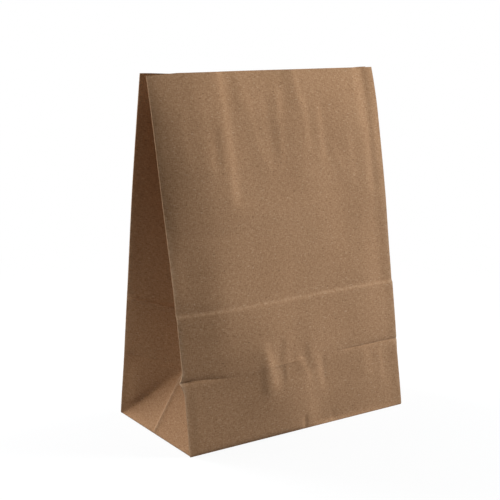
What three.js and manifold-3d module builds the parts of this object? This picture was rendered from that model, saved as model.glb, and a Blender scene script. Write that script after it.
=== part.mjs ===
// A lunch bag of brown kraft paper, folded and glued from one sheet. It stands on a block bottom,
// its sides are gussets folded inwards, and its front and back lean together to a narrow mouth.
// Millimetres, +Z up, the front panel towards -Y, origin at the middle of the base.

import * as THREE from 'three';
import { mergeVertices } from 'three/addons/utils/BufferGeometryUtils.js';
import Module from 'manifold-3d';

// The sheet and the bag that it makes
const PAPER = 0.15;           // thickness of one layer
const WIDTH = 220;            // front and back panels, and the long side of the base
const DEPTH = 120;            // gussets, and the short side of the base
const HEIGHT = 302;           // paper from the base fold up to the cut mouth
const FOLD_WIDTH = 0.8;       // flat back of a sharp fold

// The mouth
const END_GAP = 11;           // between front and back at the side folds
const MIDDLE_GAP = 8;         // between front and back away from the ends
const GAP_REACH = 32;         // from a side fold to where the middle gap starts
const CLOSING_HEIGHT = 110;   // height over which the panels draw together to the middle gap
const MOUTH_FLARE = 3.2;      // each side fold leans out by this much from the base to the mouth
const CORNER_DROOP = 1.5;     // how far the front left corner hangs
const DROOP_REACH = 26;       // along the mouth, and down the fold

// What the flat-packed bag left in the paper
const PANEL_BULGE = 2.4;      // front and back bow outwards at half height
const WAIST = 0.8;            // the side folds are drawn in by this much low down
const WAIST_TOP = 215;        // and not at all from here up
const WAIST_FADE = 95;
const CREASE_DEPTH = 1.1;     // valley across the front, where the base was folded up
const CREASE_REACH = 5;       // from the bottom of the valley to either side
const MARK_HEIGHT = 0.65;     // ridge pressed by the edge of the folded base
const MARK_REACH = 5;
const MARK_SHORTFALL = 8;     // the ridge lies this far short of one depth above the base
const LEFT_EAR = 2.6;         // pinched corners where the valley meets the front folds
const RIGHT_EAR = 1;
const EAR_REACH = 10;         // from the tip of an ear up or down the fold

// Broad swell of the front panel at some levels: how far right of the middle its crest lies, how
// far it stands out, and how wide it is
const SWELL = [
  { level: 0, crest: 0, height: 0, width: 60 },
  { level: 60, crest: -21, height: 4.8, width: 57 },
  { level: 120, crest: -68, height: 3.2, width: 54 },
  { level: 210, crest: -68, height: 6, width: 50 },
  { level: HEIGHT, crest: -80, height: 4, width: 46 },
];
const SWELL_FADE = 45;        // it runs out over this distance from a side fold

// Glued joints
const FLAP_OVERLAP = 22;      // the two long flaps of the base
const SEAM_LAP = 20;          // long seam of the tube, on the back panel
const SEAM_SETBACK = 40;      // from the side fold to the seam
const SEAM_STEP = 0.3;        // width of the step at an edge of the lap

// Steps of the surface
const TUCK_ROWS = 6;
const WALL_ROWS = 12;
const PANEL_STEPS = 10;
const END_SHARES = [0, 0.1, 0.25, 0.45, 0.7, 1];

const FRONT = -1;
const BACK = 1;
const LEFT = -1;
const RIGHT = 1;

const halfWidth = WIDTH / 2;
const halfDeep = DEPTH / 2;
const flapLength = halfDeep + FLAP_OVERLAP / 2;
const markLevel = DEPTH - MARK_SHORTFALL;
const wallRise = Math.sqrt(HEIGHT ** 2 - (halfDeep - END_GAP / 2) ** 2);

const tent = (x) => Math.max(0, 1 - Math.abs(x));
const smooth = (x) => THREE.MathUtils.smoothstep(x, 0, 1);
const spread = (from, to, steps) =>
  Array.from({ length: steps + 1 }, (_, i) => from + ((to - from) * i) / steps);
const inOrder = (values) => [...new Set(values)].sort((a, b) => a - b);

// Height above the floor, and outward lean of a side fold, at a distance s up the paper
const rise = (s) => (s * wallRise) / HEIGHT;
const waist = (s) => WAIST * smooth(s / halfDeep) * smooth((WAIST_TOP - s) / WAIST_FADE);
const flare = (s) => (s * MOUTH_FLARE) / HEIGHT - waist(s);

// Half the distance from front to back, at a distance inwards from the side fold
function halfDepthAt(inwards, s) {
  const share = s / HEIGHT;
  const leaning = halfDeep - (halfDeep - END_GAP / 2) * share;
  const bowed = 4 * PANEL_BULGE * share * (1 - share);
  const closing = smooth((s - HEIGHT + CLOSING_HEIGHT) / CLOSING_HEIGHT) * smooth(inwards / GAP_REACH);
  return leaning + bowed - (closing * (END_GAP - MIDDLE_GAP)) / 2;
}

// Valley and ridge that run across the front panel
function frontRelief(s) {
  const valley = CREASE_DEPTH * tent((s - halfDeep) / CREASE_REACH);
  const ridge = MARK_HEIGHT * tent((s - markLevel) / MARK_REACH);
  return ridge - valley;
}

// Bell across the front panel, with its crest, height and width drawn from the levels around it
function frontSwell(x, s) {
  const above = Math.max(1, SWELL.findIndex(({ level }) => level >= s));
  const [from, to] = [SWELL[above - 1], SWELL[above]];
  const share = (s - from.level) / (to.level - from.level);
  const between = (key) => THREE.MathUtils.lerp(from[key], to[key], share);
  const bell = Math.exp(-(((x - between('crest')) / between('width')) ** 2));
  const runningOut = 1 - tent((halfWidth - Math.abs(x)) / SWELL_FADE) ** 2;
  return between('height') * bell * runningOut;
}

function droop(fromLeft, s) {
  return CORNER_DROOP * tent(fromLeft / DROOP_REACH) * tent((HEIGHT - s) / DROOP_REACH);
}

// Point of the outer skin on the front or back panel. The back starts one layer up, because
// its flap lies on the front one.
function panelPoint(face, x, s) {
  const inwards = halfWidth - Math.abs(x);
  const widened = 1 + flare(s) / halfWidth;
  const point = new THREE.Vector3(x * widened, face * halfDepthAt(inwards, s), rise(s));
  if (face === BACK) {
    point.z = Math.max(point.z, PAPER);
    return point;
  }
  point.y -= frontRelief(s) + frontSwell(x, s);
  point.z -= droop(x + halfWidth, s);
  if (inwards === 0) {
    const ear = x < 0 ? LEFT_EAR : RIGHT_EAR;
    point.x += Math.sign(x) * ear * tent((s - halfDeep) / EAR_REACH);
  }
  return point;
}

// Edge of a gusset, one fold's width in from the panel
function gussetEdge(side, face, s) {
  const edge = panelPoint(face, side * halfWidth, s);
  edge.y -= face * FOLD_WIDTH;
  return edge;
}

// The paper of a gusset can't stretch, so how far the front and back have leaned together at
// the height of the apex sets how far the triangle at the bottom tips inwards.
const apexEdgeY = halfDepthAt(0, halfDeep);
const apexEdgeZ = rise(halfDeep);
const triangleTilt = Math.acos(Math.min(1, (apexEdgeY ** 2 + apexEdgeZ ** 2) / (DEPTH * apexEdgeZ)));
const apexInset = halfDeep * Math.sin(triangleTilt);
const apexHeight = halfDeep * Math.cos(triangleTilt);
const mouthInset = Math.sqrt(halfDeep ** 2 - (END_GAP / 2) ** 2);
const creaseRun = Math.sqrt((HEIGHT - halfDeep) ** 2 - (mouthInset - apexInset) ** 2);

// Centre crease of a gusset above the apex, as far in as its half of the gusset is wide
function creasePoint(side, face, s) {
  const z = apexHeight + (creaseRun * (s - halfDeep)) / (HEIGHT - halfDeep);
  const reach = halfDeep ** 2 - halfDepthAt(0, s) ** 2 - (rise(s) - z) ** 2;
  const inset = Math.sqrt(Math.max(0, reach));
  return new THREE.Vector3(side * (halfWidth + flare(s) - inset), (face * FOLD_WIDTH) / 2, z);
}

// Below the apex each half of a gusset is two flat triangles. The lower one belongs to the
// large triangle that stands on the base; the upper one hangs between it and the side fold.
function trianglePoint(side, face, across, s) {
  const up = s / halfDeep;
  const corner = gussetEdge(side, face, 0);
  corner.z = 2 * PAPER;
  const apex = creasePoint(side, face, halfDeep);
  if (across < up) {
    const onFold = corner.clone().lerp(apex, up);
    return gussetEdge(side, face, s).lerp(onFold, across / up);
  }
  const foot = new THREE.Vector3(side * halfWidth, (face * FOLD_WIDTH) / 2, corner.z);
  const along = foot.clone().sub(corner).multiplyScalar(across);
  return corner.add(along).add(apex.sub(foot).multiplyScalar(up));
}

// The ridge goes on over the back half of a gusset, and runs out towards its folds
function gussetMark(across, s) {
  return 4 * across * (1 - across) * MARK_HEIGHT * tent((s - markLevel) / MARK_REACH);
}

// Point of the outer skin on half a gusset; across runs from the side fold to the centre crease
function gussetPoint(side, face, across, s) {
  if (s < halfDeep) return trianglePoint(side, face, across, s);
  const crease = creasePoint(side, face, s);
  const point = gussetEdge(side, face, s).lerp(crease, across);
  const inwards = across * (halfWidth + flare(s) - Math.abs(crease.x));
  point.y -= face * (1 - across) * (halfDepthAt(0, s) - halfDepthAt(inwards, s));
  if (face === BACK) point.x += side * gussetMark(across, s);
  return point;
}

// Distances up the paper at which the skin has a row
function rowLevels() {
  const reaches = [-EAR_REACH, -CREASE_REACH, CREASE_REACH, EAR_REACH];
  const creases = reaches.map((reach) => halfDeep + reach);
  const marks = [markLevel - MARK_REACH, markLevel, markLevel + MARK_REACH];
  const tuck = spread(0, halfDeep, TUCK_ROWS);
  const wall = spread(halfDeep, HEIGHT, WALL_ROWS);
  return inOrder([...tuck, ...wall, ...creases, ...marks]);
}

// Distances across a panel from its left fold, closer together where the mouth closes
function panelStations(extra) {
  const near = END_SHARES.map((share) => share * GAP_REACH);
  const far = near.map((distance) => WIDTH - distance);
  return inOrder([...near, ...spread(GAP_REACH, WIDTH - GAP_REACH, PANEL_STEPS), ...far, ...extra]);
}

// Each column gives the point of the outer skin at a height, and how much thicker the paper is
// there. They run round the bag from the front left fold, anticlockwise seen from above.
function skinColumns(levels) {
  const lapStart = WIDTH - SEAM_SETBACK - SEAM_LAP;
  const lapEnd = WIDTH - SEAM_SETBACK;
  const seamStations = [lapStart - SEAM_STEP, lapStart, lapEnd, lapEnd + SEAM_STEP];
  const shares = levels.filter((s) => s <= halfDeep).map((s) => s / halfDeep);
  const inLap = (station) => station >= lapStart && station <= lapEnd;
  const panel = (face, station) => ({
    at: (s) => panelPoint(face, station - halfWidth, s),
    extra: face === BACK && inLap(station) ? PAPER : 0,
  });
  const gusset = (side, face) => (share) => ({ at: (s) => gussetPoint(side, face, share, s), extra: 0 });
  const inwards = shares;
  const outwards = [...shares].reverse();
  return [
    ...panelStations([]).map((station) => panel(FRONT, station)),
    ...inwards.map(gusset(RIGHT, FRONT)),
    ...outwards.map(gusset(RIGHT, BACK)),
    ...panelStations(seamStations).reverse().map((station) => panel(BACK, station)),
    ...inwards.map(gusset(LEFT, BACK)),
    ...outwards.map(gusset(LEFT, FRONT)),
  ];
}

// Triangles of a closed tube of rows and columns. Where a gusset's triangles meet, the two
// halves of each square are split along the slanting fold.
function tubeTriangles(grid, levels) {
  const columns = grid[0].length;
  const triangles = [];
  for (let row = 0; row + 1 < grid.length; row += 1) {
    for (let column = 0; column < columns; column += 1) {
      const next = (column + 1) % columns;
      const a = [row, column];
      const b = [row, next];
      const c = [row + 1, next];
      const d = [row + 1, column];
      const rising = grid[row][column].distanceTo(grid[row + 1][next]);
      const falling = grid[row][next].distanceTo(grid[row + 1][column]);
      const slanted = levels[row] < halfDeep;
      const joinRising = slanted ? rising <= falling : rising < falling;
      triangles.push(...(joinRising ? [[a, b, c], [a, c, d]] : [[a, b, d], [b, c, d]]));
    }
  }
  return triangles;
}

// Normals of the faces round each point of the grid
function facesAround(grid, triangles) {
  const around = grid.map((row) => row.map(() => []));
  for (const corners of triangles) {
    const [p, q, r] = corners.map(([row, column]) => grid[row][column]);
    const normal = q.clone().sub(p).cross(r.clone().sub(p)).normalize();
    for (const [row, column] of corners) around[row][column].push(normal);
  }
  return around;
}

// A vector that takes the skin one unit inwards, mitred where faces meet at a fold. On the cut
// rims it stays level.
function inwardStep(normals, onRim) {
  const mean = normals.reduce((sum, normal) => sum.add(normal), new THREE.Vector3());
  if (onRim) mean.z = 0;
  mean.normalize();
  const least = Math.min(...normals.map((normal) => normal.dot(mean)));
  return mean.multiplyScalar(-1 / Math.max(least, 0.6));
}

function wallGeometry() {
  const levels = rowLevels();
  const columns = skinColumns(levels);
  const middle = levels.map((s) => columns.map((column) => column.at(s)));
  const triangles = tubeTriangles(middle, levels);
  const around = facesAround(middle, triangles);
  const top = levels.length - 1;
  const steps = around.map((row, i) => row.map((normals) => inwardStep(normals, i === 0 || i === top)));
  const moved = (distanceAt) =>
    middle.map((row, i) => row.map((p, j) => p.clone().addScaledVector(steps[i][j], distanceAt(j))));
  const outer = moved((j) => -columns[j].extra);
  const inner = moved(() => PAPER);

  const points = [...outer.flat(), ...inner.flat()];
  const count = columns.length;
  const outerIndex = (row, column) => row * count + column;
  const innerIndex = (row, column) => (levels.length + row) * count + column;
  const indices = [];
  for (const [a, b, c] of triangles) {
    indices.push(outerIndex(...a), outerIndex(...b), outerIndex(...c));
    indices.push(innerIndex(...a), innerIndex(...c), innerIndex(...b));
  }
  for (let column = 0; column < count; column += 1) {
    const next = (column + 1) % count;
    indices.push(outerIndex(0, column), innerIndex(0, column), outerIndex(0, next));
    indices.push(outerIndex(0, next), innerIndex(0, column), innerIndex(0, next));
    indices.push(outerIndex(top, column), outerIndex(top, next), innerIndex(top, column));
    indices.push(outerIndex(top, next), innerIndex(top, next), innerIndex(top, column));
  }
  const geometry = new THREE.BufferGeometry().setFromPoints(points);
  geometry.setIndex(indices);
  return geometry;
}

// One layer of the base: an outline lying flat, a number of layers above the floor
function layer(outline, level) {
  const shape = new THREE.Shape(outline.map(([x, y]) => new THREE.Vector2(x, y)));
  const geometry = new THREE.ExtrudeGeometry(shape, { depth: PAPER, bevelEnabled: false });
  return geometry.translate(0, 0, level * PAPER);
}

// Long flap of the base. Its ends run in at 45 degrees from the corners, where the paper of
// the gussets is tucked under it.
function longFlap(face, level) {
  const fold = face * (halfDeep - PAPER / 2);
  const end = fold - face * flapLength;
  const corner = halfWidth - PAPER;
  const tip = corner - flapLength;
  return layer([[-corner, fold], [corner, fold], [tip, end], [-tip, end]], level);
}

// The paper that a long flap folds back on itself at a corner
function cornerTuck(side, face, level) {
  const x = side * (halfWidth - PAPER);
  const y = face * (halfDeep - PAPER / 2);
  const inX = x - side * flapLength;
  const inY = y - face * flapLength;
  return layer([[x, y], [inX, y], [inX, inY]], level);
}

// Innermost flap, folded in from a gusset
function endFlap(side, level) {
  const fold = side * (halfWidth - PAPER);
  const end = side * (halfWidth - flapLength);
  const edge = halfDeep - PAPER / 2;
  return layer([[fold, -edge], [end, -edge], [end, edge], [fold, edge]], level);
}

const { Manifold, Mesh } = await Module().then((wasm) => {
  wasm.setup();
  return wasm;
});

function solidFrom(geometry) {
  geometry.deleteAttribute('normal');
  geometry.deleteAttribute('uv');
  const merged = mergeVertices(geometry, PAPER / 1000);
  const vertProperties = new Float32Array(merged.attributes.position.array);
  const triVerts = new Uint32Array(merged.index.array);
  return new Manifold(new Mesh({ numProp: 3, vertProperties, triVerts }));
}

function geometryFrom(solid) {
  const { vertProperties, triVerts } = solid.getMesh();
  const geometry = new THREE.BufferGeometry();
  geometry.setAttribute('position', new THREE.BufferAttribute(new Float32Array(vertProperties), 3));
  geometry.setIndex(Array.from(triVerts));
  geometry.computeVertexNormals();
  return geometry;
}

// The glued base and the walls are one sheet
function bagSolid() {
  const baseLayers = [
    longFlap(FRONT, 0),
    longFlap(BACK, 1),
    cornerTuck(LEFT, FRONT, 1),
    cornerTuck(RIGHT, FRONT, 1),
    endFlap(LEFT, 2),
    endFlap(RIGHT, 2),
  ];
  return baseLayers.reduce((sheet, geometry) => sheet.add(solidFrom(geometry)), solidFrom(wallGeometry()));
}

const kraftPaper = new THREE.MeshStandardMaterial({ color: 0x9c7a5b, roughness: 0.85, metalness: 0 });

const bag = new THREE.Group();
const sheet = new THREE.Mesh(geometryFrom(bagSolid()), kraftPaper);
sheet.name = 'paper_bag';
bag.add(sheet);

export default bag;
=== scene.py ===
"""Looks of a brown kraft lunch bag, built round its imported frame.

The bag is one sheet of paper. A point of the sheet has two parameters: how far across its panel
or gusset it lies, and its level, which is how far up the paper it is from the base fold. Levels
below nought belong to the flaps that close the base. The front faces -Y, and x runs to the right
seen from the front. Shapes are worked out in millimetres and turned to metres when the mesh is
made; a relief is how far the paper stands out of its smooth form.
"""

import math

import bpy
import numpy as np
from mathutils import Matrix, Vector


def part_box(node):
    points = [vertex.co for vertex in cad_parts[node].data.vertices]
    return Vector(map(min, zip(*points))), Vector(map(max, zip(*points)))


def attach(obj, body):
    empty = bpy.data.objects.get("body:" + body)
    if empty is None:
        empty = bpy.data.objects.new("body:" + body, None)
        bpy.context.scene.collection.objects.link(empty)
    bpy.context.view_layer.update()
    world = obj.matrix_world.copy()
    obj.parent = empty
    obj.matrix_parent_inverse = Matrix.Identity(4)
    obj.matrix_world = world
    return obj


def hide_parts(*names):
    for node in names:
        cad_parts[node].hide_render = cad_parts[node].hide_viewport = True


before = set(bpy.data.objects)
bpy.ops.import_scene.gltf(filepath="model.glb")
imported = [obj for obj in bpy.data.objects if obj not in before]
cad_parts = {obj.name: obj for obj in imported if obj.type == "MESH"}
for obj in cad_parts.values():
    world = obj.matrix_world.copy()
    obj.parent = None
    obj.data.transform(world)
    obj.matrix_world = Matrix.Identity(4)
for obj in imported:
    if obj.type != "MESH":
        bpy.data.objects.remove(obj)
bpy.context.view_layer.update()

MM = 0.001

# Signs of the faces and sides of the bag, along y and x
FRONT = -1
BACK = 1
LEFT = -1
RIGHT = 1

# The viewing angle, aimed at a point left of the middle at about half the bag's height
VIEW_AZIMUTH = math.radians(-33.69)
VIEW_ELEVATION = math.radians(12.0)
VIEW_DISTANCE = 921.4
VIEW_TARGET = (-13.55, 0.0, 145.5)
VIEW_LENS = 77.7
SENSOR_WIDTH = 36.0

# The sheet, with the values of the solid model
PAPER = 0.15
FOLD_WIDTH = 0.8
END_GAP = 11.0
MIDDLE_GAP = 8.0
GAP_REACH = 32.0
CLOSING_HEIGHT = 110.0
MOUTH_FLARE = 3.2
PANEL_BULGE = 2.4
FLAP_OVERLAP = 22.0
SEAM_LAP = 20.0
SEAM_SETBACK = 40.0
SEAM_STEP = 0.3

# The bag's main sizes, worked back from its box in the frame. Width and height are rounded to a
# thousandth, so that the middle column of the front lies at nought exactly
box_low, box_high = (np.array(corner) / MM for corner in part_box("paper_bag"))
WIDTH = round(2 * (box_high[0] - MOUTH_FLARE), 3)
DEPTH = -2 * box_low[1]
HALF_WIDTH = WIDTH / 2
HALF_DEEP = DEPTH / 2
HEIGHT = round(math.hypot(box_high[2], HALF_DEEP - END_GAP / 2), 3)
WALL_RISE = math.sqrt(HEIGHT**2 - (HALF_DEEP - END_GAP / 2) ** 2)
FLAP_LENGTH = HALF_DEEP + FLAP_OVERLAP / 2
LAP_END = HALF_WIDTH - SEAM_SETBACK
LAP_START = LAP_END - SEAM_LAP

# How high the layers of the base lie and how far the seam's lap stands out, in thicknesses of
# paper, and how far up the panels the layers' height dies away
FRONT_FLAP_LAYER = 0.0
BACK_FLAP_LAYER = 1.1
END_FLAP_LAYER = 3.3
LAP_THICKNESS = 1.6
LAYER_REACH = 6.0

# The foot, the waist, the pinched corners at the valley's ends, and the edge of the mouth. A span
# is a start and a length
FOOT_RADIUS = 0.5
FOOT_REACH = 1.4
WAIST = 0.8
WAIST_FADE_SPAN = (120.0, 95.0)
LEFT_EAR = 2.6
RIGHT_EAR = 1.0
EAR_REACH = 10.0
EAR_WIDTH = 4.0
EAR_SHARPNESS = 1.3
CORNER_DROOP = 1.5
DROOP_REACH = 26.0
BACK_DIP = 1.1

# The valley across the front, where the base was folded up. Its line lies lower in the left half,
# which sags, and how far it reaches differs above and below it
VALLEY_LEVEL = 59.0
VALLEY_LEFT_LEVEL = 59.9
VALLEY_RIGHT_LEVEL = 60.2
VALLEY_SAG = 2.6
VALLEY_SAG_SPAN = (12.0, 34.0)
VALLEY_LEAST_DEPTH = 0.08
VALLEY_LEFT_DEPTH = 1.3
VALLEY_LEFT_SPAN = (14.0, 34.0)
VALLEY_RIGHT_DEPTH = 0.7
VALLEY_RIGHT_SPAN = (25.0, 60.0)
LEFT_FOLD_DEPTH = 0.7
LEFT_FOLD_REACH = 5.0
RIGHT_FOLD_DEPTH = 0.6
RIGHT_FOLD_REACH = 4.0
REACH_ABOVE = 2.6
REACH_BELOW_LEFT = 2.1
REACH_BELOW_RIGHT = 5.0

# The mark across the front, pressed by the edge of the folded base. It rises and grows rightwards
MARK_LEVEL = 112.0
MARK_STEP = 0.55
MARK_REACH = 1.5
MARK_FADE = 9.0
MARK_RISE = 0.4
MARK_RISE_SPAN = (0.0, 80.0)
MARK_GROWTH = 0.25
MARK_GROWTH_SPAN = (0.0, 60.0)

# Broad swell of the front, at some levels: where its crest lies, its height and its half width
SWELL_LEVELS = (0, 60, 120, 172, 225, 302)
SWELL_CREST = (0, -21, -66, -68, -70, -80)
SWELL_HEIGHT = (0, 4.8, 4.4, 3.0, 5.6, 2.6)
SWELL_WIDTH = (60, 57, 54, 52, 49, 46)
SWELL_FADE = 45.0

# How far the front rolls out just inside its left fold, at some levels, and over how much paper
# the roll rises and sinks again
ROLL_LEVELS = (0, 50, 76, 96, 112, 140, 160, 185, 265, 302)
ROLL_HEIGHT = (0, 0.2, 1.8, 1.8, 0.8, 0.1, 0.8, 2.2, 2.2, 0.8)
ROLL_REACH = 10.0
ROLL_FADE = 200.0

# How far the front bends back under its mouth, and how far it stands out below that
BEND_DEPTH = 2.2
BEND_REACH = 40.0
BEND_SPAN = (-60.0, 50.0)
BROW_LEVEL = 260.0
BROW_HEIGHT = 1.5
BROW_REACH = 46.0
BROW_FADE = 35.0

# Soft folds of the front, as (across, level) of both ends, half width and height
FRONT_FOLDS = [
    ((3, 232), (5, 280), 4.0, 0.32),
    ((-6, 240), (-6, 276), 3.6, -0.2),
    ((26, 274), (25, 308), 3.6, 0.3),
    ((66, 214), (55, 236), 4.5, 0.2),
    ((98, 200), (98, 312), 4.6, -0.5),
    ((97, 120), (96, 190), 4.0, -0.16),
    ((64, 168), (54, 226), 28.0, -1.7),
]

# Steps of the front, where the paper drops to the right (or to the left, if below nought), as
# (across, level) of the lower and the upper end, half width and drop
FRONT_STEPS = [
    ((-46, 202), (-46, 312), 5.2, 0.95),
    ((-57, 230), (-56, 256), 2.4, -0.26),
    ((-64, 226), (-64, 244), 2.6, 0.2),
    ((-84, 230), (-84, 270), 4.0, 0.18),
    ((-34, 276), (-33, 296), 3.0, -0.28),
    ((18, 276), (16, 312), 5.0, -0.36),
    ((32, 238), (32, 276), 2.6, 0.3),
    ((47, 230), (46, 268), 3.4, 0.46),
    ((-18, 246), (-22, 280), 4.0, 0.3),
    ((-9, 225), (-17, 240), 3.0, 0.22),
    ((3, 262), (11, 284), 3.0, 0.2),
    ((78, 205), (76, 240), 3.0, 0.22),
    ((90, 256), (90, 312), 3.4, 0.35),
    ((86, 118), (84, 172), 8.0, 0.3),
    ((-103, 132), (-103, 158), 5.0, 0.2),
    ((-25, 46), (-32, 76), 3.6, 0.5),
    ((-26, 46), (-28, 64), 7.0, 0.7),
    ((-38, 44), (-37, 66), 4.0, -0.5),
    ((-16, 46), (-16, 57), 1.2, -0.3),
    ((-18, 64), (-14, 78), 3.2, -0.5),
    ((10, 46), (2, 62), 1.9, 0.4),
    ((10, 62), (10, 70), 2.0, -0.3),
    ((25, 36), (21, 57), 4.6, 0.7),
    ((29, 36), (28, 57), 1.5, -0.2),
    ((15, 0), (9, 40), 9.0, 0.9),
    ((2, -10), (-12, 58), 20.0, 1.5),
    ((92, 30), (91, 52), 1.8, 0.25),
    ((77, 40), (75, 56), 4.5, 0.35),
    ((-20, 224), (-20, 248), 12.0, -0.7),
    ((14, 224), (12, 242), 14.0, -0.9),
    ((6, 72), (6, 84), 16.0, -0.9),
]

# How slowly a step comes back beside its line, and dies away past the ends, in half widths
STEP_RETURN = 5.0
STEP_END = 1.5

# Sharp small creases of the front, as (across, level) of both ends, reach and height
FRONT_CREASES = [
    ((-24, 60), (4, 60.5), 1.2, 0.24),
    ((-85, 272.5), (-79, 272.5), 0.8, 0.25),
    ((-106, 109.4), (-76, 109.4), 0.7, -0.14),
    ((3, 0), (3, 9), 1.6, -1.0),
    ((34, 0), (34, 5), 1.4, -0.7),
    ((-109, 59.6), (-104, 59.8), 1.3, -0.7),
    ((52, 60.2), (108, 60.5), 0.9, -0.24),
]

# Slow waves of handled paper, as height, lengths across and up over two pi, and what the phase is
# multiplied by. Each part of the sheet has its own strength and phase
WAVES = [(0.22, 13.0, 61.0, 1.0), (0.16, 7.9, -37.0, 2.1), (0.12, 21.0, 17.0, 3.7)]
FRONT_WAVES = 0.5
BACK_WAVES = 1.5
GUSSET_WAVES = 0.7
TRIANGLE_WAVES = 0.6
FRONT_PHASE = 0.4
BACK_PHASE = 1.9
GUSSET_PHASE = 0.8
TRIANGLE_PHASE = 2.6

# Over how much paper reliefs come in above the base fold, and loose ones above it and inside the
# side folds
RELIEF_START = 2.5
LOOSE_LEVEL = 14.0
LOOSE_MARGIN = 10.0

# Relief of a gusset, along the way that each half faces. The back half has marks of flat packing,
# whose levels slant across it. What fades at a fold does so within a share of the half gusset
GUSSET_FACING = (0.84, 0.54, 0.0)
GUSSET_WAVE_FADE = 1 / 5
GUSSET_WAVE_REACH = 12.0
RIDGE_HEIGHT = 2.0
RIDGE_REACH = 1.7
RIDGE_DROP = 1.0
RIDGE_SLANT = 3.0
RIDGE_FOLD_FADE = 1 / 12
RIDGE_CREASE_FADE = 1 / 4
TUCK_DEPTH = 1.5
TUCK_REACH = 4.0
TUCK_DROP = 1.0
TUCK_SLANT = 4.0
TUCK_FADE = 1 / 6
SLACK_HEIGHT = 2.0
SLACK_PLACE = 0.3
SLACK_WIDTH = 0.35
SLACK_FADE = 1 / 4
SLACK_REACH_BELOW = 20.0
SLACK_FOOT = 10.0
CREASE_FADE = 1 / 3

# The triangle that stands on the base: its old centre crease, the dip beside it, and the shares of
# the half gusset within which relief fades on both sides of the slanting fold
SPINE_HEIGHT = 0.9
SPINE_REACH = 1.5
DIP_DEPTH = 0.9
DIP_REACH = 9.0
TRIANGLE_FOOT = 5.0
TRIANGLE_FADE = 1 / 6
HANGING_FADE = 1 / 12
STANDING_FADE = 1 / 8

# Fineness of the sheet's grid, with the places of its closer rows and columns
TUCK_STEPS = 22
WALL_STEPS = 80
PANEL_STEPS = 130
BACK_STEPS = 60
FLAP_STEPS = 6
FOOT_ROWS = (-0.5, 0, 0.3, 0.7, 1.4)
VALLEY_ROWS = np.arange(55.4, 63.8, 0.6)
MARK_ROWS = MARK_LEVEL + np.arange(-4.2, 4.3, 0.7)
ROW_GAP = 0.5
FOLD_COLUMNS = (0, 0.5, 1.1)
FIRST_STATION = 2.0
GUSSET_COLUMNS = (0.7, 1.4, HALF_DEEP - 1)
SHARP_ANGLE = math.radians(38)

# How well the faces round a point agree, at the least, where the paper isn't folded flat, and
# how well where a fold's mitre is largest. The last two keep divisions away from nought
OPEN_AGREEMENT = 0.3
MITRED_AGREEMENT = 0.6
SHORTEST_MEAN = 0.2
TINY = 1e-9

# Paler paper, partly worn and partly a painted highlight of the light that the folds and the pressed
# mark catch: at the folds, in a broad faint stripe along them, at the ears and on the mark. What
# lies within the margin of the smooth front counts as the front
WEAR_AND_HIGHLIGHT_REACH = 0.9
WEAR_AND_HIGHLIGHT_STRENGTH = 0.6
WEAR_AND_HIGHLIGHT_LOSS = 0.25
WEAR_AND_HIGHLIGHT_LOSS_SPAN = (150.0, 60.0)
STRIPE_WEAR_AND_HIGHLIGHT = 0.3
STRIPE_REACH = 3.2
STRIPE_START_SPAN = (60.0, 30.0)
STRIPE_END_SPAN = (170.0, 60.0)
EAR_WEAR = 1.6
EAR_WEAR_REACH = 14.0
MARK_HIGHLIGHT_AND_WEAR = 0.35
MARK_HIGHLIGHT_RISE = 0.4
MARK_HIGHLIGHT_REACH = 0.8
FRONT_MARGIN = 6.0


def tent(x):
    """One at nought, falling in a straight line to nought at one either side."""
    return np.clip(1 - np.abs(x), 0, None)


def bell(x):
    """One at nought, falling smoothly either side: e to the minus x squared."""
    return np.exp(-(x**2))


def peak(x):
    """One at nought, falling to a sharp point either side: e to the minus the distance."""
    return np.exp(-np.abs(x))


def smooth(x):
    """Nought up to nought, one from one on, and 3 x squared less 2 x cubed between."""
    x = np.clip(x, 0, 1)
    return x * x * (3 - 2 * x)


def fade(x, start, length):
    """Nought up to the start, rising smoothly to one over the length."""
    return smooth((x - start) / length)


def in_order(*lists):
    """All the values of the lists, each once, in rising order."""
    return np.unique(np.round(np.concatenate([np.atleast_1d(values) for values in lists]), 4))


def rise(level):
    """Height above the floor: the level, shortened by the lean of the walls."""
    return level * WALL_RISE / HEIGHT


def flare(level):
    """How far a side fold lies outside its place at the base: it leans out with the level, and
    is drawn in low down, where the paper was folded when flat."""
    waist = smooth(level / VALLEY_LEVEL) * (1 - fade(level, *WAIST_FADE_SPAN))
    return level * MOUTH_FLARE / HEIGHT - WAIST * waist


def closing(inwards, level):
    """How far the mouth's narrowing has gone, from nought to one: it comes with the level near
    the mouth and with the distance inwards from the side folds."""
    return fade(level, HEIGHT - CLOSING_HEIGHT, CLOSING_HEIGHT) * smooth(inwards / GAP_REACH)


def half_depth(inwards, level):
    """Half the way from front to back. It falls evenly with the level, bows out by a parabola,
    and near the mouth closes further away from the side folds."""
    share = level / HEIGHT
    leaning = HALF_DEEP - (HALF_DEEP - END_GAP / 2) * share
    bowed = 4 * PANEL_BULGE * share * (1 - share)
    return leaning + bowed - closing(inwards, level) * (END_GAP - MIDDLE_GAP) / 2


def beside_line(x, level, start, end):
    """How far to the right of a line between two points, and how far past its ends, which is
    nought beside the line itself."""
    run = np.subtract(end, start)
    length = np.hypot(*run)
    step_x, step_level = run / length
    along = (x - start[0]) * step_x + (level - start[1]) * step_level
    right = (x - start[0]) * step_level - (level - start[1]) * step_x
    return right, np.maximum(0, np.maximum(-along, along - length))


def soft_folds(x, level, folds):
    """Sum of rounded ridges, each a bell of the distance from its line."""
    return sum(
        height * bell(np.hypot(*beside_line(x, level, start, end)) / width)
        for start, end, width, height in folds
    )


def sharp_creases(x, level, creases):
    """Sum of pointed ridges, each a peak of the distance from its line."""
    return sum(
        height * peak(np.hypot(*beside_line(x, level, start, end)) / reach)
        for start, end, reach, height in creases
    )


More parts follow.
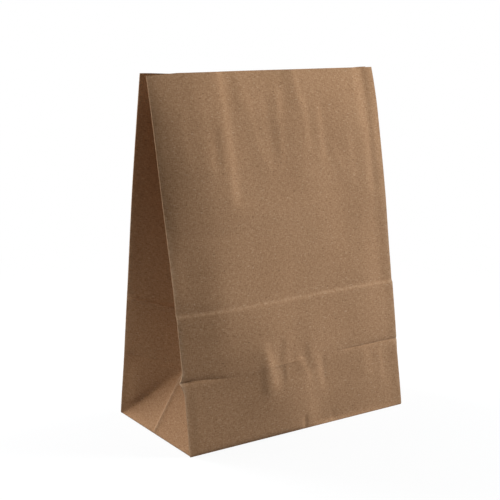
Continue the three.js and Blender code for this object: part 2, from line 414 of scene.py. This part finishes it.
def steps_beside(x, level, steps):
    """Sum of steps: the paper falls across each line by a hyperbolic tangent, then slowly comes
    back on both sides. Past the ends of the line a step dies away as a bell."""
    total = 0.0
    for start, end, width, drop in steps:
        right, beyond = beside_line(x, level, start, end)
        fall = np.tanh(right / width) * peak(right / (STEP_RETURN * width))
        total = total - drop * fall * bell(beyond / (STEP_END * width))
    return total


def handling_waves(across, level, phase):
    """Slight waves of handled paper: slow sines that cross at different slants."""
    return sum(
        height * np.sin(across / length + level / length_up + share * phase)
        for height, length, length_up, share in WAVES
    )


def front_swell(x, level):
    """Broad bulge of the front: a bell across the panel whose crest wanders to the left going
    up, run out at the side folds by a parabola."""
    crest, height, width = (
        np.interp(level, SWELL_LEVELS, row) for row in (SWELL_CREST, SWELL_HEIGHT, SWELL_WIDTH)
    )
    running_out = 1 - tent((HALF_WIDTH - np.abs(x)) / SWELL_FADE) ** 2
    return height * bell((x - crest) / width) * running_out


def left_roll(x, level):
    """Roll beside the left fold: it rises as one less e to the minus the distance from the fold,
    and slowly sinks again."""
    from_left = x + HALF_WIDTH
    height = np.interp(level, ROLL_LEVELS, ROLL_HEIGHT)
    return height * (1 - np.exp(-from_left / ROLL_REACH)) * np.exp(-from_left / ROLL_FADE)


def valley(x, level):
    """Depth of the crease across the front, a peak of the distance from its line. It fades from
    the left fold to the middle, sagging a little, comes back to the right, and is deepest just
    at the two folds."""
    from_left = x + HALF_WIDTH
    from_right = HALF_WIDTH - x
    sagging = VALLEY_LEFT_LEVEL - VALLEY_SAG * fade(from_left, *VALLEY_SAG_SPAN)
    above = level - np.where(x < 0, sagging, VALLEY_RIGHT_LEVEL)
    below_reach = np.where(x < 0, REACH_BELOW_LEFT, REACH_BELOW_RIGHT)
    depth = VALLEY_LEAST_DEPTH
    depth = depth + VALLEY_LEFT_DEPTH * (1 - fade(from_left, *VALLEY_LEFT_SPAN))
    depth = depth + VALLEY_RIGHT_DEPTH * fade(x, *VALLEY_RIGHT_SPAN)
    depth = depth + LEFT_FOLD_DEPTH * np.exp(-from_left / LEFT_FOLD_REACH)
    depth = depth + RIGHT_FOLD_DEPTH * np.exp(-from_right / RIGHT_FOLD_REACH)
    return depth * peak(above / np.where(above > 0, REACH_ABOVE, below_reach))


def pressed_mark(x, level):
    """Where the folded base's edge lay: the paper steps back by a hyperbolic tangent going up,
    and slowly comes straight again on both sides."""
    above = level - MARK_LEVEL - MARK_RISE * fade(x, *MARK_RISE_SPAN)
    step = np.tanh(above / MARK_REACH) * peak(above / MARK_FADE)
    return -MARK_STEP * step * (1 + MARK_GROWTH * fade(x, *MARK_GROWTH_SPAN))


def mouth_bend(x, level):
    """How far the front bends back towards its mouth, by a parabola, less the bell-shaped brow
    that stands out below. Both fade to the left, and the brow at the right fold too."""
    brow = BROW_HEIGHT * bell((level - BROW_LEVEL) / BROW_REACH) * smooth((HALF_WIDTH - x) / BROW_FADE)
    bend = BEND_DEPTH * tent((HEIGHT - level) / BEND_REACH) ** 2
    return (bend - brow) * fade(x, *BEND_SPAN)


def front_relief(x, level):
    """Relief of the front: the swell and roll, the marks of flat packing, the bend under the
    mouth, the sharp creases, and what is loose: folds, steps and slight waves that settle at the
    side folds."""
    loose = soft_folds(x, level, FRONT_FOLDS) + steps_beside(x, level, FRONT_STEPS)
    waves = handling_waves(x, level, FRONT_PHASE) * smooth(level / LOOSE_LEVEL)
    settled = smooth((HALF_WIDTH - np.abs(x)) / LOOSE_MARGIN)
    relief = pressed_mark(x, level) - valley(x, level) - mouth_bend(x, level)
    relief = relief + settled * (loose + FRONT_WAVES * waves) + sharp_creases(x, level, FRONT_CREASES)
    return front_swell(x, level) + left_roll(x, level) + relief


def back_relief(x, level):
    """Relief of the back: slight waves, and the step where the seam laps double."""
    settled = smooth((HALF_WIDTH - np.abs(x)) / LOOSE_MARGIN) * smooth(level / LOOSE_LEVEL)
    waves = settled * BACK_WAVES * handling_waves(x, level, BACK_PHASE)
    lap = smooth((x - LAP_START) / SEAM_STEP + 1) * smooth((LAP_END - x) / SEAM_STEP + 1)
    return waves + PAPER * LAP_THICKNESS * lap


def panel_points(face, x, level):
    """Front or back. Above the base fold: the smooth lean plus the relief. Below it the panel is
    a flap lying on the floor, narrowing at 45 degrees."""
    x, level = np.broadcast_arrays(x, level)
    up = np.maximum(level, 0)
    below = np.maximum(-level, 0)
    inwards = HALF_WIDTH - np.abs(x)
    relief = front_relief(x, up) if face == FRONT else back_relief(x, up)
    rounding = FOOT_RADIUS * tent(up / FOOT_REACH) ** 2
    out = half_depth(inwards, up) + relief * smooth(up / RELIEF_START) - rounding
    px = x * (1 + (flare(up) - rounding) / HALF_WIDTH)
    layer = FRONT_FLAP_LAYER if face == FRONT else BACK_FLAP_LAYER
    pz = rise(up) + layer * PAPER * (1 - smooth(up / LAYER_REACH))
    if face == FRONT:
        corner = tent((x + HALF_WIDTH) / DROOP_REACH) * tent((HEIGHT - up) / DROOP_REACH)
        pz = pz - CORNER_DROOP * corner
        ear = tent((up - VALLEY_LEVEL) / EAR_REACH) ** EAR_SHARPNESS * np.exp(-inwards / EAR_WIDTH)
        px = px + np.sign(x) * np.where(x < 0, LEFT_EAR, RIGHT_EAR) * ear
    else:
        pz = pz - BACK_DIP * closing(inwards, up)
    px = px * (1 - below / HALF_WIDTH)
    return np.stack([px, face * (out - below), pz], axis=-1)


# The opened gusset: its triangle leans in by a tilt, at which its apex meets the side folds'
# paper without stretching, and the centre crease runs straight from the apex to the mouth
APEX_EDGE_Y = float(half_depth(0, HALF_DEEP))
APEX_EDGE_Z = rise(HALF_DEEP)
TRIANGLE_TILT = math.acos(min(1, (APEX_EDGE_Y**2 + APEX_EDGE_Z**2) / (DEPTH * APEX_EDGE_Z)))
APEX_INSET = HALF_DEEP * math.sin(TRIANGLE_TILT)
APEX_HEIGHT = HALF_DEEP * math.cos(TRIANGLE_TILT)
MOUTH_INSET = math.sqrt(HALF_DEEP**2 - (END_GAP / 2) ** 2)
CREASE_RUN = math.sqrt((HEIGHT - HALF_DEEP) ** 2 - (MOUTH_INSET - APEX_INSET) ** 2)


def gusset_edge(side, face, level):
    """Side fold of a gusset: the panel's edge, one fold's width in."""
    edge = panel_points(face, np.full_like(level, side * HALF_WIDTH), level)
    edge[..., 1] -= face * FOLD_WIDTH
    return edge


def centre_crease(side, face, level):
    """Centre crease above the apex. It lies as far in as half a gusset, laid slanting from the
    side fold, reaches by Pythagoras."""
    z = APEX_HEIGHT + CREASE_RUN * (level - HALF_DEEP) / (HEIGHT - HALF_DEEP)
    reach = HALF_DEEP**2 - half_depth(0, level) ** 2 - (rise(level) - z) ** 2
    x = side * (HALF_WIDTH + flare(level) - np.sqrt(np.maximum(reach, 0)))
    return np.stack([x, np.full_like(x, face * FOLD_WIDTH / 2), z], axis=-1)


def upper_gusset(side, face, share, level):
    """Half a gusset above the apex, ruled straight from the side fold to the centre crease and
    following the panel where the mouth closes."""
    edge = gusset_edge(side, face, level)
    crease = centre_crease(side, face, level)
    points = edge + (crease - edge) * share[..., None]
    inwards = share * (HALF_WIDTH + flare(level) - np.abs(crease[..., 0]))
    points[..., 1] -= face * (1 - share) * (half_depth(0, level) - half_depth(inwards, level))
    return points + gusset_relief(side, face, share, level)


def lower_gusset(side, face, share, level):
    """Half a gusset below the apex: two flat triangles, one hanging from the side fold and one
    standing on the base. They meet on the slanting fold, where share and height agree."""
    edge = gusset_edge(side, face, level)
    corner = gusset_edge(side, face, np.zeros_like(level))
    corner[..., 2] = END_FLAP_LAYER * PAPER
    foot = corner.copy()
    foot[..., 1] = face * FOLD_WIDTH / 2
    apex = centre_crease(side, face, np.full_like(level, HALF_DEEP))
    height = level / HALF_DEEP
    across, up = share[..., None], height[..., None]

    on_fold = corner + (apex - corner) * up
    hanging = edge + (on_fold - edge) * across / np.maximum(up, TINY)
    slack = gusset_relief(side, face, share, level) * fade(up - across, 0, HANGING_FADE)
    standing = corner + (foot - corner) * across + (apex - foot) * up
    standing = standing + triangle_relief(side, face, share, level)
    rounded = gusset_edge(side, face, np.minimum(level, FOOT_REACH))[..., 0] - corner[..., 0]
    standing[..., 0] += rounded * fade(share - height, 0, STANDING_FADE)
    return np.where(across < up - TINY, hanging + slack, standing)


def gusset_points(side, face, share, level):
    """Half a gusset; share runs from the side fold (0) to the centre crease (1). Below the base
    fold it is the end flap, flat on the base."""
    share, level = np.broadcast_arrays(share, level)
    up = np.maximum(level, 0)
    lower = lower_gusset(side, face, share, up)
    upper = upper_gusset(side, face, share, np.maximum(up, HALF_DEEP))
    points = np.where(up[..., None] < HALF_DEEP, lower, upper)
    points[..., 0] -= side * np.maximum(-level, 0)
    return points


def gusset_relief(side, face, share, level):
    """Slight waves across half a gusset. Its back half also has the ridge that the folded base
    pressed, a peak of the distance from a slanting line, and below it the end of the valley: a
    peaked crease under which the slack paper bulges out as a bell."""
    from_crease = 1 - share
    phase = GUSSET_PHASE + face + side
    waves = fade(share, 0, GUSSET_WAVE_FADE) * fade(from_crease, 0, GUSSET_WAVE_FADE)
    waves = waves * GUSSET_WAVES * fade(level, HALF_DEEP, GUSSET_WAVE_REACH)
    out = waves * handling_waves(share * HALF_DEEP, level, phase)
    if face == BACK:
        ridge = peak((level - MARK_LEVEL + RIDGE_DROP + RIDGE_SLANT * share) / RIDGE_REACH)
        ridge = ridge * fade(share, 0, RIDGE_FOLD_FADE) * fade(from_crease, 0, RIDGE_CREASE_FADE)
        under = VALLEY_LEVEL - TUCK_DROP + TUCK_SLANT * share - level
        tuck = peak(under / TUCK_REACH) * fade(share, 0, TUCK_FADE)
        slack = bell((share - SLACK_PLACE) / SLACK_WIDTH) * fade(share, 0, SLACK_FADE)
        slack = slack * smooth(under / SLACK_REACH_BELOW) * smooth(level / SLACK_FOOT)
        low = (SLACK_HEIGHT * slack - TUCK_DEPTH * tuck) * fade(from_crease, 0, CREASE_FADE)
        out = out + RIDGE_HEIGHT * ridge + low
    return out[..., None] * np.array(GUSSET_FACING) * (side, -face, 0)


def triangle_relief(side, face, share, level):
    """The old centre crease of the triangle on the base stands up as a fine peaked ridge, and
    the sheet beside it dips a little. Both fade at the folds."""
    width = (1 - share) * HALF_DEEP
    height = level / HALF_DEEP
    rising = smooth(level / TRIANGLE_FOOT)
    fading = rising * fade(share - height, 0, TRIANGLE_FADE)
    spine = SPINE_HEIGHT * peak(width / SPINE_REACH) * rising * fade(1 - height, 0, TRIANGLE_FADE)
    dip = DIP_DEPTH * fading * (1 - np.exp(-width / DIP_REACH))
    waves = TRIANGLE_WAVES * fading * handling_waves(face * width, level, TRIANGLE_PHASE)
    facing = np.array([side * math.cos(TRIANGLE_TILT), 0, math.sin(TRIANGLE_TILT)])
    return (spine - dip + waves)[..., None] * facing


def tuck_levels():
    """Levels up the triangle of a gusset, which also set how its columns are spread."""
    return np.linspace(0, HALF_DEEP, TUCK_STEPS + 1)


def sheet_levels():
    """Levels of the grid's rows, closer together at the creases that cross the sheet."""
    flaps = -np.linspace(FLAP_LENGTH, 0, FLAP_STEPS + 1)
    wall = np.linspace(HALF_DEEP, HEIGHT, WALL_STEPS + 1)
    wall = wall[(wall < MARK_ROWS[0] - ROW_GAP) | (wall > MARK_ROWS[-1] + ROW_GAP)]
    return in_order(flaps, FOOT_ROWS, tuck_levels(), VALLEY_ROWS, MARK_ROWS, wall)


def panel_stations(steps, extra=()):
    """Places across a panel, closer together at its side folds."""
    near = np.array(FOLD_COLUMNS)
    even = np.linspace(FIRST_STATION, WIDTH - FIRST_STATION, steps + 1)
    return in_order(near, even, WIDTH - near, np.array(extra, float)) - HALF_WIDTH


def sheet_grid():
    """The outer skin as rows of points round the bag, anticlockwise from the front left fold,
    with the rows' levels, each column's distances round the sheet and from the nearest fold that
    runs up it, and the way all round."""
    levels = sheet_levels()
    rows = levels[:, None]
    front = panel_stations(PANEL_STEPS)
    lap = np.array([LAP_START - SEAM_STEP, LAP_START, LAP_END, LAP_END + SEAM_STEP])
    back = panel_stations(BACK_STEPS, lap + HALF_WIDTH)[::-1]
    shares = in_order(tuck_levels(), GUSSET_COLUMNS) / HALF_DEEP

    strips = []
    distances = []
    from_folds = []
    start = 0.0

    def add(points, along, from_fold):
        nonlocal start
        strips.append(points)
        distances.append(start + np.abs(along - along[0]))
        from_folds.append(from_fold)
        start = distances[-1][-1] + FOLD_WIDTH

    def add_panel(face, x):
        add(panel_points(face, x[None, :], rows), x, HALF_WIDTH - np.abs(x))

    def add_gusset(side, face, order):
        from_fold = np.minimum(order, 1 - order) * HALF_DEEP
        add(gusset_points(side, face, order[None, :], rows), order * HALF_DEEP, from_fold)

    add_panel(FRONT, front)
    add_gusset(RIGHT, FRONT, shares)
    add_gusset(RIGHT, BACK, shares[::-1])
    add_panel(BACK, back)
    add_gusset(LEFT, BACK, shares)
    add_gusset(LEFT, FRONT, shares[::-1])
    points = np.concatenate(strips, axis=1)
    return points, levels, np.concatenate(distances), np.concatenate(from_folds), start


def skin_normals(grid):
    """Mean direction of the faces round each point, and its least agreement with any of them."""
    ahead = np.roll(grid, -1, axis=1)
    faces = np.cross(ahead[1:] - grid[:-1], grid[1:] - ahead[:-1])
    faces /= np.maximum(np.linalg.norm(faces, axis=-1, keepdims=True), TINY)
    padded = np.concatenate([faces[:1], faces, faces[-1:]])
    behind = np.roll(padded, 1, axis=1)
    around = [padded[:-1], padded[1:], behind[:-1], behind[1:]]
    mean = sum(around)
    mean /= np.maximum(np.linalg.norm(mean, axis=-1, keepdims=True), SHORTEST_MEAN)
    agreement = np.min([np.sum(mean * face, axis=-1) for face in around], axis=0)
    return mean, agreement


def inner_skin(grid):
    """The outer skin moved in by the paper's thickness. At a fold the move is mitred; where the
    paper is folded flat on itself there is none."""
    mean, agreement = skin_normals(grid)
    mitre = np.where(agreement > OPEN_AGREEMENT, 1 / np.maximum(agreement, MITRED_AGREEMENT), 0)
    return grid - mean * (PAPER * mitre)[..., None]


def grid_quads(rows, columns, first, flip):
    """Corner numbers of the squares of a closed band of points, with the row and column of each
    corner, counted on past the last column where the band closes."""
    row, column = np.meshgrid(np.arange(rows - 1), np.arange(columns), indexing="ij")
    places = [(row, column), (row, column + 1), (row + 1, column + 1), (row + 1, column)]
    if flip:
        places = places[::-1]
    numbers = np.stack([first + r * columns + c % columns for r, c in places], axis=-1)
    return numbers.reshape(-1, 4), places


def rim_quads(rows, columns, row, flip):
    """Squares that join the outer skin to the inner one along a cut edge."""
    outer = row * columns + np.arange(columns)
    ahead = row * columns + (np.arange(columns) + 1) % columns
    inner = rows * columns
    quads = np.stack([outer, ahead, ahead + inner, outer + inner], axis=-1)
    return quads[:, ::-1] if flip else quads


def band_map(across, levels, places):
    """Places on the flat sheet of the corners of a band's squares."""
    corners = [np.stack([across[column], levels[row]], axis=-1) for row, column in places]
    return np.stack(corners, axis=-2).reshape(-1, 2)


def rim_map(across, level, flip):
    """Places on the flat sheet of the corners of a cut edge's squares."""
    here, ahead = across[:-1], across[1:]
    corners = [here, ahead, ahead, here]
    if flip:
        corners = corners[::-1]
    places = np.stack(corners, axis=-1).reshape(-1)
    return np.stack([places, np.full_like(places, level)], axis=-1)


def sheet_wear_and_highlight(levels, from_folds, grid):
    """How pale the paper is made, from nought to one, partly for worn paper and partly as a painted
    highlight of the light that the folds and the pressed mark catch: it falls off quickly from the
    folds that run up the sheet, along which there is a broad faint stripe at middle height. It is
    strongest at the ears and weaker on the mark across the front."""
    up = levels[:, None]
    on_front = grid[..., 1] < FRONT_MARGIN - half_depth(0, np.maximum(up, 0))
    # Pale folds and the stripe along them: partly worn paper, partly a painted highlight of the light
    # that the folds catch.
    stripe = STRIPE_WEAR_AND_HIGHLIGHT * bell(from_folds / STRIPE_REACH)
    stripe = stripe * fade(up, *STRIPE_START_SPAN) * (1 - fade(up, *STRIPE_END_SPAN))
    fold = peak(from_folds / WEAR_AND_HIGHLIGHT_REACH) + stripe
    ear = EAR_WEAR * tent((up - VALLEY_LEVEL) / EAR_WEAR_REACH) * on_front
    # Pale line on the mark: a painted highlight of the light on its pressed ridge, with some worn
    # paper.
    mark = MARK_HIGHLIGHT_AND_WEAR * peak((up - MARK_LEVEL - MARK_HIGHLIGHT_RISE) / MARK_HIGHLIGHT_REACH) * on_front
    strength = WEAR_AND_HIGHLIGHT_STRENGTH - WEAR_AND_HIGHLIGHT_LOSS * fade(up, *WEAR_AND_HIGHLIGHT_LOSS_SPAN)
    return np.clip(fold * (strength + ear) + mark, 0, 1)


def make_sheet(name):
    """The whole sheet as one closed mesh, with the map of the flat paper and how pale it is made for
    worn paper and painted highlight.
    """
    outer, levels, distances, from_folds, girth = sheet_grid()
    rows, columns = outer.shape[:2]
    vertices = np.concatenate([outer.reshape(-1, 3), inner_skin(outer).reshape(-1, 3)])
    outside, outside_places = grid_quads(rows, columns, 0, False)
    inside, inside_places = grid_quads(rows, columns, rows * columns, True)
    top = rim_quads(rows, columns, rows - 1, False)
    bottom = rim_quads(rows, columns, 0, True)
    quads = np.concatenate([outside, inside, top, bottom])

    across = np.append(distances, girth)
    sheet_map = np.concatenate([
        band_map(across, levels, outside_places),
        band_map(across, levels, inside_places),
        rim_map(across, levels[-1], False),
        rim_map(across, levels[0], True),
    ])
    # Paleness for worn paper and painted highlight at the folds and the mark, the same on both skins.
    wear = np.tile(sheet_wear_and_highlight(levels, from_folds, outer).ravel(), 2).astype(np.float32)

    mesh = bpy.data.meshes.new(name)
    mesh.from_pydata(vertices * MM, [], quads.tolist())
    mesh.uv_layers.new(name="flat_sheet").data.foreach_set("uv", (sheet_map * MM).ravel())
    mesh.attributes.new("wear", "FLOAT", "POINT").data.foreach_set("value", wear)
    mesh.validate()
    mesh.shade_smooth()
    mesh.set_sharp_from_angle(angle=SHARP_ANGLE)
    piece = bpy.data.objects.new(name, mesh)
    bpy.context.scene.collection.objects.link(piece)
    return piece


class Value:
    """A socket of a material, on which sums can be written."""

    def __init__(self, graph, socket):
        self.graph = graph
        self.socket = socket

    def math(self, operation, *others):
        return self.graph.node("ShaderNodeMath", {"operation": operation}, [self, *others])

    def __add__(self, other):
        return self.math("ADD", other)

    def __radd__(self, other):
        return self.math("ADD", other)

    def __sub__(self, other):
        return self.math("SUBTRACT", other)

    def __rsub__(self, other):
        return self.graph.node("ShaderNodeMath", {"operation": "SUBTRACT"}, [other, self])

    def __mul__(self, other):
        return self.math("MULTIPLY", other)

    def __rmul__(self, other):
        return self.math("MULTIPLY", other)


# Places of the colour sockets of a Mix node, among its sockets for other kinds of value
MIX_FACTOR = 0
MIX_FIRST = 6
MIX_SECOND = 7
MIX_RESULT = 2


class Graph:
    """The nodes of a material or of the world."""

    def __init__(self, owner):
        owner.use_nodes = True
        self.owner = owner
        self.tree = owner.node_tree
        self.tree.nodes.clear()

    def node(self, kind, settings=None, values=(), output=0):
        """Adds a node: its settings first, then the values or links of its sockets, given in
        order, by number or by name. Gives back one of its outputs, where it has any."""
        made = self.tree.nodes.new(kind)
        for key, value in (settings or {}).items():
            if key == "stops":
                self.set_stops(made, value)
            else:
                setattr(made, key, value)
        pairs = values.items() if isinstance(values, dict) else enumerate(values)
        for key, value in pairs:
            if isinstance(value, Value):
                self.tree.links.new(value.socket, made.inputs[key])
            else:
                made.inputs[key].default_value = value
        return Value(self, made.outputs[output]) if made.outputs else None

    def set_stops(self, ramp, stops):
        """Puts a ramp's colours at their places."""
        elements = ramp.color_ramp.elements
        while len(elements) < len(stops):
            elements.new(0.5)
        for element, (place, colour) in zip(elements, stops):
            element.position = place
            element.color = colour

    def noise(self, where, scale, detail, roughness):
        """Cloudy numbers about one half, with finer clouds added for the detail."""
        return self.node(
            "ShaderNodeTexNoise",
            {"noise_dimensions": "3D"},
            {"Vector": where, "Scale": scale, "Detail": detail, "Roughness": roughness},
        )

    def between(self, value, low, high):
        """Nought at the low value and one at the high one, in a straight line between."""
        ends = {"Value": value, "From Min": low, "From Max": high}
        return self.node("ShaderNodeMapRange", None, ends)

    def blend(self, factor, first, second):
        """One colour turning into another as the factor goes from nought to one."""
        values = {MIX_FACTOR: factor, MIX_FIRST: first, MIX_SECOND: second}
        return self.node("ShaderNodeMix", {"data_type": "RGBA"}, values, MIX_RESULT)

    def mix(self, factor, first, second):
        """One shader turning into another as the factor goes from nought to one."""
        return self.node("ShaderNodeMixShader", None, [factor, first, second])

    def finish(self, shader, kind="ShaderNodeOutputMaterial"):
        """Joins the shader to the output."""
        self.node(kind, None, {"Surface": shader})
        return self.owner


def srgb(red, green, blue):
    """A colour given in screen numbers from 0 to 255, made linear."""
    channels = [value / 255 for value in (red, green, blue)]
    linear = [c / 12.92 if c <= 0.04045 else ((c + 0.055) / 1.055) ** 2.4 for c in channels]
    return (*linear, 1.0)


def grey(value):
    """A linear grey."""
    return (value, value, value, 1.0)


KRAFT_DARK = srgb(138, 101, 70)
KRAFT_MIDDLE = srgb(165, 127, 94)
KRAFT_LIGHT = srgb(187, 150, 116)
# Pale kraft, for light specks and for worn paper with a painted highlight at the folds and the mark.
KRAFT_PALE = srgb(206, 178, 148)
KRAFT_SPECK = srgb(92, 62, 42)
KRAFT_STOPS = [(0.35, KRAFT_DARK), (0.5, KRAFT_MIDDLE), (0.65, KRAFT_LIGHT)]

# Patterns of the paper, as how many there are to a metre of the flat sheet, how many finer ones
# are added and how strong each of those is beside the one before
CLOUDS = (26, 3, 0.55)
MOTTLE = (260, 3, 0.6)
LONG_FIBRES = (1150, 2, 0.6)
SLANT_FIBRES = (1000, 2, 0.6)
SPECKS = (850, 1, 0.5)

# Fibres are drawn on a map that is squeezed up the sheet, or turned and squeezed over it
LONG_SQUEEZE = (1.0, 0.3, 1.0)
SLANT_SQUEEZE = (0.35, 1.0, 1.0)
SLANT = (0.0, 0.0, 0.9)

# What each pattern adds to the tone, and the tone without them
CLOUD_TONE = 0.08
MOTTLE_TONE = 0.14
GRAIN_TONE = 0.58
LEAST_TONE = 0.1

# Where dark specks, light specks and the pale worn paper with its painted highlight begin and are
# full, as values of their patterns, and how much of their colour is blended in there
DARK_SPECK_ENDS = (0.66, 0.74)
DARK_SPECK_SHARE = 0.45
LIGHT_SPECK_ENDS = (0.34, 0.27)
LIGHT_SPECK_SHARE = 0.35
WEAR_AND_HIGHLIGHT_ENDS = (0.3, 0.6)
WEAR_AND_HIGHLIGHT_SHARE = 0.6

# The fine relief of the paper, its height in metres, how rough it is and how much it shines
GRAIN_RELIEF = 0.6
MOTTLE_RELIEF = 0.4
RELIEF_STRENGTH = 0.9
RELIEF_HEIGHT = 0.0002
LEAST_ROUGHNESS = 0.72
MOTTLE_ROUGHNESS = 0.2
PAPER_SHINE = 0.08


def kraft_paper():
    """Uncoated kraft: a cloudy brown with fibres along and across the sheet, dark and light
    specks, and paler paper at the folds and on the mark, partly worn and partly a painted
    highlight of the light that the folds and the pressed ridge catch."""
    g = Graph(bpy.data.materials.new("kraft_paper"))
    sheet = g.node("ShaderNodeUVMap", {"uv_map": "flat_sheet"})
    upwards = g.node("ShaderNodeMapping", None, {"Vector": sheet, "Scale": LONG_SQUEEZE})
    slanting = g.node(
        "ShaderNodeMapping", None, {"Vector": sheet, "Rotation": SLANT, "Scale": SLANT_SQUEEZE}
    )
    clouds = g.noise(sheet, *CLOUDS)
    mottle = g.noise(sheet, *MOTTLE)
    grain = (g.noise(upwards, *LONG_FIBRES) + g.noise(slanting, *SLANT_FIBRES)) * 0.5
    tone = clouds * CLOUD_TONE + mottle * MOTTLE_TONE + grain * GRAIN_TONE + LEAST_TONE
    base = g.node("ShaderNodeValToRGB", {"stops": KRAFT_STOPS}, {"Fac": tone})

    specks = g.noise(slanting, *SPECKS)
    dark = g.between(specks, *DARK_SPECK_ENDS)
    base = g.blend(dark * DARK_SPECK_SHARE, base, KRAFT_SPECK)
    light = g.between(specks, *LIGHT_SPECK_ENDS)
    base = g.blend(light * LIGHT_SPECK_SHARE, base, KRAFT_PALE)
    # Paler at the folds, ears and mark: partly worn paper, partly a painted highlight.
    wear = g.node("ShaderNodeAttribute", {"attribute_name": "wear"}, output="Fac")
    worn_and_highlit = wear * g.between(mottle, *WEAR_AND_HIGHLIGHT_ENDS)
    base = g.blend(worn_and_highlit * WEAR_AND_HIGHLIGHT_SHARE, base, KRAFT_PALE)

    height = grain * GRAIN_RELIEF + mottle * MOTTLE_RELIEF
    relief = {"Strength": RELIEF_STRENGTH, "Distance": RELIEF_HEIGHT, "Height": height}
    shader = g.node(
        "ShaderNodeBsdfPrincipled",
        None,
        {
            "Base Color": base,
            "Roughness": LEAST_ROUGHNESS + mottle * MOTTLE_ROUGHNESS,
            "Specular IOR Level": PAPER_SHINE,
            "Normal": g.node("ShaderNodeBump", None, relief),
        },
    )
    return g.finish(shader)


# Stage: how grey the floor is to the light and how pale to the camera, and how much of its shading
# shows near the bag. The lamps are given as name, place, size, power and tint: two on the right,
# low and high, one behind on the left that lights the inside and the triangle on the base, and a
# weak warm one on the gusset
FLOOR_HALF = 3.0
FLOOR_GREY = grey(0.32)
FLOOR_PALE = grey(0.9)
FLOOR_SHADE = 0.12
SHADE_START = 0.15
SHADE_END = 0.7
WHITE = grey(1.0)
SURROUND_TINT = (1.0, 0.84, 0.7, 1.0)
SURROUND_LIGHT = 0.066
BAG_MIDDLE = (0.0, 0.0, 0.15)
LAMPS = [
    ("low_right_lamp", (0.8, -0.3, 0.1), 0.25, 7.5, (0.97, 1.04, 1.12)),
    ("high_right_lamp", (0.5, -0.25, 0.95), 0.3, 8.3, (0.98, 1.03, 1.05)),
    ("left_back_lamp", (-0.3, 0.6, 0.8), 0.4, 9.6, (0.95, 1.01, 1.08)),
    ("left_lamp", (-0.6, 0.3, 0.35), 0.3, 1.5, (1.0, 0.94, 0.88)),
]


def seen_directly(g):
    """One for what the camera sees, also in a mirror or through glass, and nought for the light
    that falls on things."""
    seen = g.node("ShaderNodeLightPath", output="Is Camera Ray")
    for ray in ("Is Glossy Ray", "Is Transmission Ray"):
        seen = seen.math("MAXIMUM", g.node("ShaderNodeLightPath", output=ray))
    return seen


def make_floor():
    """A pale floor, white where the camera sees it. Near the bag a small share of what is seen
    is the light that the lamps throw on it, so that the bag's shadow shows."""
    half = FLOOR_HALF
    corners = [(-half, -half, 0), (half, -half, 0), (half, half, 0), (-half, half, 0)]
    mesh = bpy.data.meshes.new("floor")
    mesh.from_pydata(corners, [], [(0, 1, 2, 3)])
    floor = bpy.data.objects.new("floor", mesh)
    bpy.context.scene.collection.objects.link(floor)

    g = Graph(bpy.data.materials.new("pale_floor"))
    seen = seen_directly(g)
    place = g.node("ShaderNodeTexCoord", output="Object")
    from_bag = g.node("ShaderNodeVectorMath", {"operation": "LENGTH"}, [place], output="Value")
    near = g.node(
        "ShaderNodeMapRange",
        {"interpolation_type": "SMOOTHSTEP"},
        {
            "Value": from_bag,
            "From Min": SHADE_START,
            "From Max": SHADE_END,
            "To Min": 1.0,
            "To Max": 0.0,
        },
    )
    shaded = g.node("ShaderNodeBsdfDiffuse", None, {"Color": g.blend(seen, FLOOR_GREY, FLOOR_PALE)})
    white = g.node("ShaderNodeEmission", None, {"Color": WHITE, "Strength": 1.0})
    mesh.materials.append(g.finish(g.mix(seen * (1 - near * FLOOR_SHADE), shaded, white)))


def light_world():
    """An even warm surround, white where the camera sees it."""
    g = Graph(bpy.data.worlds.new("surround"))
    lit = g.node(
        "ShaderNodeBackground", None, {"Color": SURROUND_TINT, "Strength": SURROUND_LIGHT}
    )
    white = g.node("ShaderNodeBackground", None, {"Color": WHITE, "Strength": 1.0})
    mixed = g.mix(seen_directly(g), lit, white)
    bpy.context.scene.world = g.finish(mixed, "ShaderNodeOutputWorld")


def aim(thing, target):
    """Turns a lamp or camera to look at a point."""
    thing.rotation_euler = (Vector(target) - thing.location).to_track_quat("-Z", "Y").to_euler()


def add_lamp(name, place, size, power, tint):
    """A square soft lamp, slightly tinted, aimed at the bag."""
    light = bpy.data.lights.new(name, "AREA")
    light.size = size
    light.energy = power
    light.color = tint
    lamp = bpy.data.objects.new(name, light)
    lamp.location = place
    bpy.context.scene.collection.objects.link(lamp)
    aim(lamp, BAG_MIDDLE)


def add_camera():
    """The camera, turned about the target by the viewing angle."""
    data = bpy.data.cameras.new("camera")
    data.lens = VIEW_LENS
    data.sensor_width = SENSOR_WIDTH
    camera = bpy.data.objects.new("camera", data)
    level = math.cos(VIEW_ELEVATION)
    away = Vector((
        math.sin(VIEW_AZIMUTH) * level,
        -math.cos(VIEW_AZIMUTH) * level,
        math.sin(VIEW_ELEVATION),
    ))
    target = Vector(VIEW_TARGET) * MM
    camera.location = target + away * VIEW_DISTANCE * MM
    bpy.context.scene.collection.objects.link(camera)
    aim(camera, target)
    bpy.context.scene.camera = camera


add_camera()
light_world()
for lamp in LAMPS:
    add_lamp(*lamp)
make_floor()

bag = make_sheet("folded_kraft_sheet")
bag.data.materials.append(kraft_paper())
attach(bag, "root")
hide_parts("paper_bag")

bpy.context.scene.view_settings.view_transform = "Standard"
